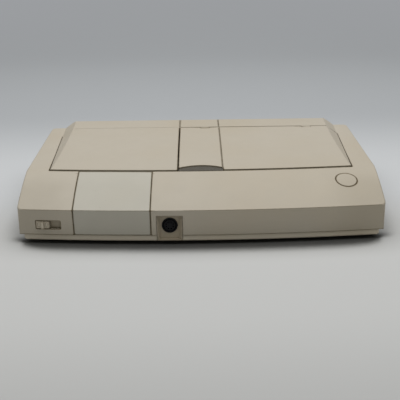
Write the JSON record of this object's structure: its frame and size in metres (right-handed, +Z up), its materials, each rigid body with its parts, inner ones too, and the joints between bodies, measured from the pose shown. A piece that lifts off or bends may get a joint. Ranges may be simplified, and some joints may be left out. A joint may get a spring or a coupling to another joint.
{
  "type": "video game console",
  "caption": "Top-loading disc game console with a bowed front, raised hinged disc lid, flap over the card slot, round open button and round controller socket.",
  "frame": {"origin": "centre of the footprint, on the surface the rubber feet stand on", "axes": "+X to the right seen from the front, +Y to the rear, +Z up; the bowed front face looks along -Y"},
  "size_m": [0.364, 0.236, 0.0679],
  "materials": {
    "case_ivory": "yellowed ivory, fine matte",
    "door_ivory": "less yellowed ivory, fine matte",
    "window_smoke": "smoked, gloss",
    "black_plastic": "black, moulded",
    "grey_plastic": "mid grey, moulded",
    "board_green": "lacquered board",
    "steel": "sheet steel",
    "bright_steel": "ground",
    "rubber_black": "soft, matt",
    "gear_white": "unfilled, moulded",
    "lens_glass": "coated lens"
  },
  "bodies": {
    "console": {"upper_case": "case_ivory", "lower_case": "case_ivory", "left_panel": "case_ivory", "indicator_window": "window_smoke", "controller_socket": "black_plastic", "socket_plate": "case_ivory", "lid_hinge_pins": "bright_steel", "button_spring": "bright_steel", "card_bezel": "grey_plastic", "card_connector": "black_plastic", "card_contacts": "bright_steel", "disc_well": "grey_plastic", "drive_chassis": "steel", "chassis_dampers": "rubber_black", "spindle_motor": "steel", "guide_rods": "bright_steel", "sled_motor": "steel", "main_board": "board_green", "board_chips": "black_plastic", "capacitors": "black_plastic", "indicator_board": "board_green", "power_switch": "grey_plastic", "board_shield": "steel", "dc_jack": "black_plastic", "av_socket": "black_plastic", "expansion_connector": "black_plastic", "rubber_feet": "rubber_black", "case_screws": "steel", "board_screws": "steel"},
    "lid": {"disc_lid": "case_ivory", "lid_liner": "grey_plastic", "clamp_cover": "grey_plastic", "lid_hook": "grey_plastic"},
    "clamp": {"clamp_puck": "black_plastic"},
    "button": {"open_button": "case_ivory"},
    "latch": {"latch_slider": "grey_plastic"},
    "door": {"card_door": "door_ivory"},
    "knob": {"power_knob": "case_ivory"},
    "turntable": {"turntable_hub": "black_plastic"},
    "sled": {"pickup_sled": "black_plastic"},
    "lens": {"pickup_lens": "lens_glass"},
    "gear": {"feed_gear": "gear_white"},
    "pinion": {"motor_pinion": "gear_white"}
  },
  "joints": [
    {"name": "lid_hinge", "type": "hinge", "parent": "console", "child": "lid", "pos_m": [0.06, 0.0768, 0.0655], "axis": [-1, 0, 0], "range_deg": [0, 70]},
    {"name": "clamp_spin", "type": "hinge", "parent": "lid", "child": "clamp", "pos_m": [0.067, 0.0105, 0.0573], "axis": [0, 0, 1], "continuous": true},
    {"name": "open_press", "type": "slide", "parent": "console", "child": "button", "axis": [0, 0, -1], "range_m": [0, 0.002], "stiffness_N_per_m": 600, "springref_m": -0.0015, "deforming": ["button_spring"]},
    {"name": "latch_slide", "type": "slide", "parent": "console", "child": "latch", "axis": [0, -1, 0], "range_m": [0, 0.002]},
    {"name": "card_door_hinge", "type": "hinge", "parent": "console", "child": "door", "pos_m": [-0.0884, -0.05899, 0.0542], "axis": [-0.9986, 0.0527, 0], "range_deg": [0, 80]},
    {"name": "power_slide", "type": "slide", "parent": "console", "child": "knob", "axis": [0.9959, -0.0906, 0], "range_m": [0, 0.0095]},
    {"name": "turntable_spin", "type": "hinge", "parent": "console", "child": "turntable", "pos_m": [0.067, 0.0105, 0.048], "axis": [0, 0, 1], "continuous": true},
    {"name": "sled_feed", "type": "slide", "parent": "console", "child": "sled", "axis": [0, -1, 0], "range_m": [0, 0.032]},
    {"name": "lens_focus", "type": "slide", "parent": "sled", "child": "lens", "axis": [0, 0, 1], "range_m": [-0.0005, 0.0005], "stiffness_N_per_m": 200},
    {"name": "feed_gear_turn", "type": "hinge", "parent": "console", "child": "gear", "pos_m": [0.101, -0.028, 0.03], "axis": [0, 0, 1], "range_deg": [0, 306]},
    {"name": "pinion_turn", "type": "hinge", "parent": "console", "child": "pinion", "pos_m": [0.101, -0.0142, 0.027], "axis": [0, 0, 1], "range_deg": [-1101, 0]}
  ],
  "couplings": [
    {"joint": "latch_slide", "follows": "open_press", "ratio": 1},
    {"joint": "feed_gear_turn", "follows": "sled_feed", "rad_per_m": 166.67},
    {"joint": "pinion_turn", "follows": "sled_feed", "rad_per_m": -600}
  ]
}
